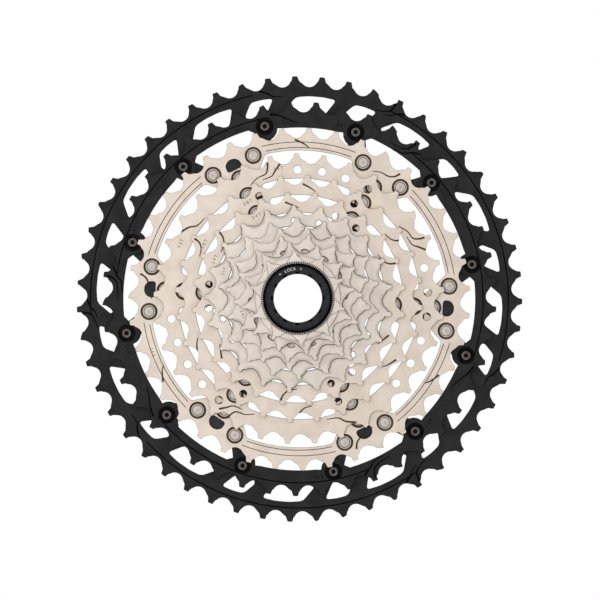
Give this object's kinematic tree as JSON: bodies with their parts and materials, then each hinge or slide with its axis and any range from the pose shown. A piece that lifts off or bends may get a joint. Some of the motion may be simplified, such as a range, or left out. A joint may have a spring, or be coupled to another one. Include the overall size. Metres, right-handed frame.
{
  "type": "bicycle cassette",
  "caption": "Stack of steel and alloy bicycle sprockets riveted to a stepped spider, with loose small sprockets, spacers and a screwed lockring.",
  "frame": {"origin": "on the axle's centre line, in the plane of the largest sprocket's back face, which is the lowest face of the part", "axes": "+Z along the axle, outboard towards the lockring; +X and +Y across the sprockets"},
  "size_m": [0.2084, 0.2084, 0.0437],
  "materials": {
    "champagne_steel": "fine satin, warm nickel plated",
    "black_alloy": "black anodised, satin",
    "spider_alloy": "dark anodised, bead blasted",
    "black_rivets": "black collar with a bare pin",
    "silver_rivets": "pressed flat, satin",
    "spacer_alloy": "black anodised",
    "washer_steel": "bright, serrated rim",
    "lockring_alloy": "black anodised, polished bevel"
  },
  "bodies": {
    "riveted_cluster": {"spider": "spider_alloy", "sprocket_51t": "black_alloy", "sprocket_45t": "black_alloy", "sprocket_39t": "champagne_steel", "sprocket_33t": "champagne_steel", "sprocket_28t": "champagne_steel", "sprocket_24t": "champagne_steel", "rivet_51t_01": "black_rivets", "rivet_51t_02": "black_rivets", "rivet_51t_03": "black_rivets", "rivet_51t_04": "black_rivets", "rivet_51t_05": "black_rivets", "rivet_51t_06": "black_rivets", "rivet_51t_07": "black_rivets", "rivet_51t_08": "black_rivets", "rivet_51t_09": "black_rivets", "rivet_51t_10": "black_rivets", "rivet_51t_11": "black_rivets", "rivet_51t_12": "black_rivets", "rivet_39t_01": "silver_rivets", "rivet_39t_02": "silver_rivets", "rivet_39t_03": "silver_rivets", "rivet_39t_04": "silver_rivets", "rivet_39t_05": "silver_rivets", "rivet_39t_06": "silver_rivets", "rivet_39t_07": "silver_rivets", "rivet_39t_08": "silver_rivets", "rivet_39t_09": "silver_rivets", "rivet_39t_10": "silver_rivets", "rivet_39t_11": "silver_rivets", "rivet_39t_12": "silver_rivets", "rivet_33t_01": "silver_rivets", "rivet_33t_02": "silver_rivets", "rivet_33t_03": "silver_rivets", "rivet_33t_04": "silver_rivets", "rivet_33t_05": "silver_rivets", "rivet_33t_06": "silver_rivets", "rivet_28t_01": "silver_rivets", "rivet_28t_02": "silver_rivets", "rivet_28t_03": "silver_rivets", "rivet_28t_04": "silver_rivets", "rivet_28t_05": "silver_rivets", "rivet_28t_06": "silver_rivets"},
    "loose_21t": {"sprocket_21t": "champagne_steel", "spacer_21t": "spacer_alloy"},
    "loose_18t": {"sprocket_18t": "champagne_steel", "spacer_18t": "spacer_alloy"},
    "loose_16t": {"sprocket_16t": "champagne_steel", "spacer_16t": "spacer_alloy"},
    "loose_14t": {"sprocket_14t": "champagne_steel", "spacer_14t": "spacer_alloy"},
    "loose_12t": {"sprocket_12t": "champagne_steel", "spacer_12t": "spacer_alloy"},
    "loose_10t": {"sprocket_10t": "champagne_steel"},
    "captive_washer": {"lock_washer": "washer_steel"},
    "lockring": {"lockring": "lockring_alloy"}
  },
  "joints": [
    {"name": "slide_21t", "type": "slide", "parent": "riveted_cluster", "child": "loose_21t", "axis": [0, 0, 1], "range_m": [0, 0.018]},
    {"name": "slide_18t", "type": "slide", "parent": "loose_21t", "child": "loose_18t", "axis": [0, 0, 1], "range_m": [0, 0.0145]},
    {"name": "slide_16t", "type": "slide", "parent": "loose_18t", "child": "loose_16t", "axis": [0, 0, 1], "range_m": [0, 0.011]},
    {"name": "slide_14t", "type": "slide", "parent": "loose_16t", "child": "loose_14t", "axis": [0, 0, 1], "range_m": [0, 0.0075]},
    {"name": "slide_12t", "type": "slide", "parent": "loose_14t", "child": "loose_12t", "axis": [0, 0, 1], "range_m": [0, 0.004]},
    {"name": "slide_10t", "type": "slide", "parent": "loose_12t", "child": "loose_10t", "axis": [0, 0, 1], "range_m": [0, 0.004]},
    {"name": "lockring_unscrew", "type": "slide", "parent": "loose_10t", "child": "captive_washer", "axis": [0, 0, 1], "range_m": [0, 0.0071]},
    {"name": "lockring_turn", "type": "hinge", "parent": "captive_washer", "child": "lockring", "pos_m": [0, 0, 0.0417], "axis": [0, 0, 1], "range_deg": [0, 2520]}
  ],
  "couplings": [
    {"joint": "lockring_unscrew", "follows": "lockring_turn", "m_per_rad": 0.00015915}
  ]
}
